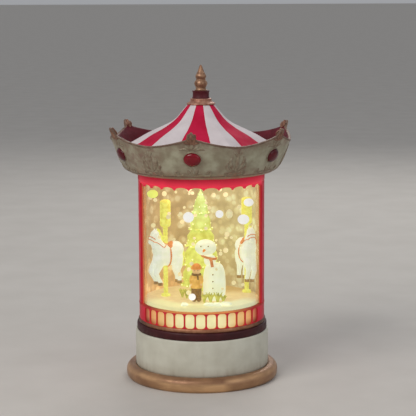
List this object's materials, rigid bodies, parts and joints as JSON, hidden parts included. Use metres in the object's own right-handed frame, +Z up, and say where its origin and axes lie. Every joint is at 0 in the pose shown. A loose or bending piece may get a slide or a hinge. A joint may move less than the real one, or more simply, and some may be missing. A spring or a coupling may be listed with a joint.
{
  "type": "carousel-shaped table lantern",
  "caption": "Table-top water lantern shaped like a fairground carousel, with a striped tent roof, a jewelled crown cornice, a lit front window and a round moulded base.",
  "frame": {"origin": "middle of the underside of the base ring, at the surface it stands on", "axes": "+Z up through the finial, -Y out of the front window, +X to the viewer's right when facing the window"},
  "size_m": [0.1596, 0.173, 0.28],
  "materials": {
    "aged_bronze": "satin, rubbed metallic paint",
    "cream": "eggshell, faintly weathered",
    "antique_cream": "matt, with antique brown-gold rubbed into the relief",
    "maroon": "satin",
    "red": "gloss",
    "copper": "satin, rubbed metallic paint",
    "underside": "matt",
    "warm_light": "frosted, lit from behind",
    "glass": "clear, gloss",
    "backdrop": "crinkled gold film, lit",
    "snow": "matt, glittered",
    "tree": "matt",
    "gold": "satin",
    "horse": "satin",
    "figure": "matt, painted",
    "gem": "gloss, cabochon",
    "tent": "satin, red and white painted stripes"
  },
  "bodies": {
    "root": {"base_ring": "aged_bronze", "bottom_plate": "underside", "battery_cover": "underside", "base_drum": "cream", "lower_collar": "maroon", "collar_bead": "copper", "balustrade": "red", "balustrade_light": "warm_light", "lower_wall_right": "red", "lower_wall_left": "red", "rail": "maroon", "right_pillar": "red", "left_pillar": "red", "back_wall_1": "red", "back_wall_2": "red", "back_wall_3": "red", "back_wall_4": "red", "tank_lid": "red", "window_glass": "glass", "backdrop": "backdrop", "valance": "red", "snow_floor": "snow", "tree": "tree", "left_horse": "horse", "left_pole": "gold", "right_horse": "horse", "right_pole": "gold", "snowman": "snow", "child_figure": "figure", "crown_floor": "antique_cream", "crown_panel_1": "antique_cream", "crown_gem_1": "gem", "crown_panel_2": "antique_cream", "crown_gem_2": "gem", "crown_panel_3": "antique_cream", "crown_gem_3": "gem", "crown_panel_4": "antique_cream", "crown_gem_4": "gem", "crown_panel_5": "antique_cream", "crown_gem_5": "gem", "crown_panel_6": "antique_cream", "crown_gem_6": "gem", "tent_roof": "tent", "roof_ring": "gold", "finial_collar": "maroon", "finial": "gold"}
  },
  "joints": []
}
